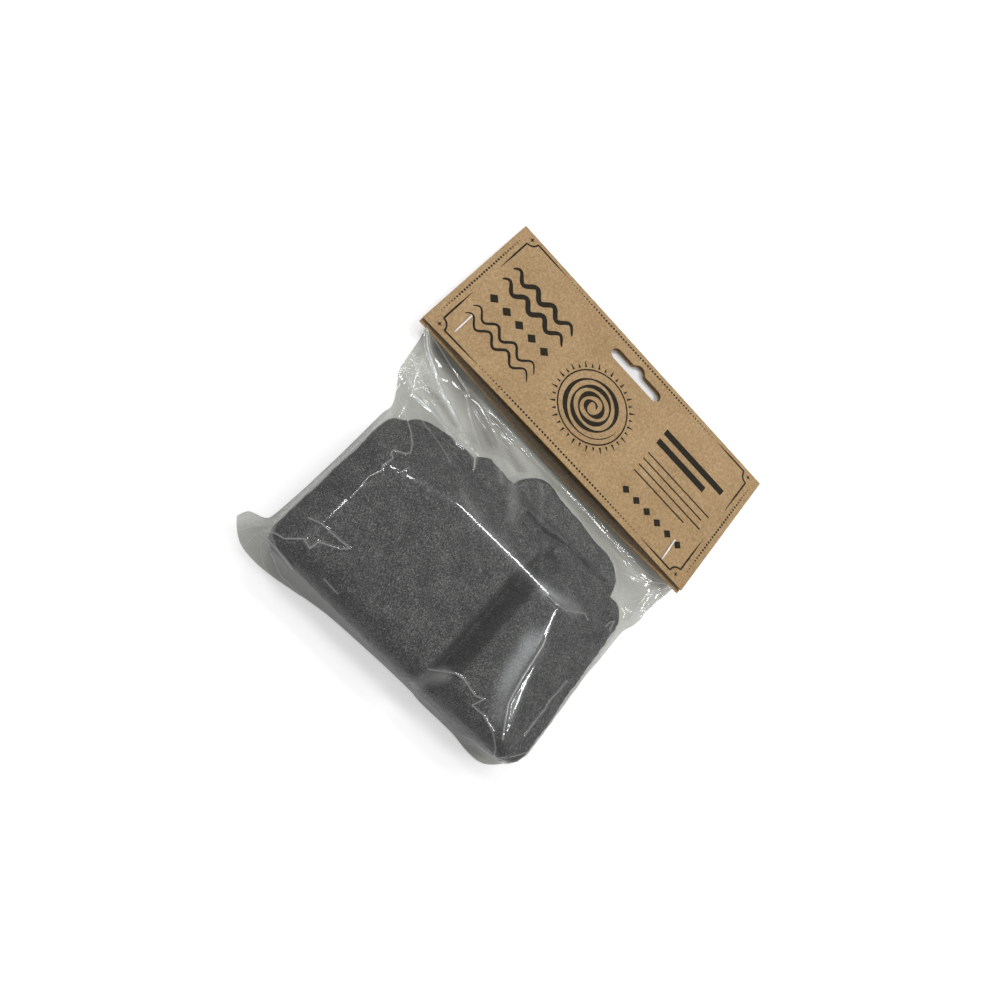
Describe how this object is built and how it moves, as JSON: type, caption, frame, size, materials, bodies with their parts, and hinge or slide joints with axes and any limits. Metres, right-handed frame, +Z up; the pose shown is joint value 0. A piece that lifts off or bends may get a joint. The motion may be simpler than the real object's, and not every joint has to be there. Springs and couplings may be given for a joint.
{
  "type": "steel wool pad in a header bag",
  "caption": "Folded pad of fine steel wool in a clear film bag, closed by a stapled kraft header card with a hang slot.",
  "frame": {"origin": "centre of the pack's footprint, on the surface that it lies on", "axes": "+X along the card's fold, +Y from the bag's bottom seam to the fold, +Z up out of the printed side"},
  "size_m": [0.165, 0.1898, 0.027],
  "materials": {
    "steel_wool": "felted dark grey steel fibre, dull with fine bright hairs",
    "clear_film": "thin clear glossy film with sharp creases",
    "kraft_board": "matt brown kraft board with fibre flecks and dark ink",
    "staple_wire": "bright flattened wire"
  },
  "bodies": {
    "root": {"wool_pad": "steel_wool", "clear_bag": "clear_film", "header_card": "kraft_board", "staple_left": "staple_wire", "staple_right": "staple_wire"}
  },
  "joints": []
}
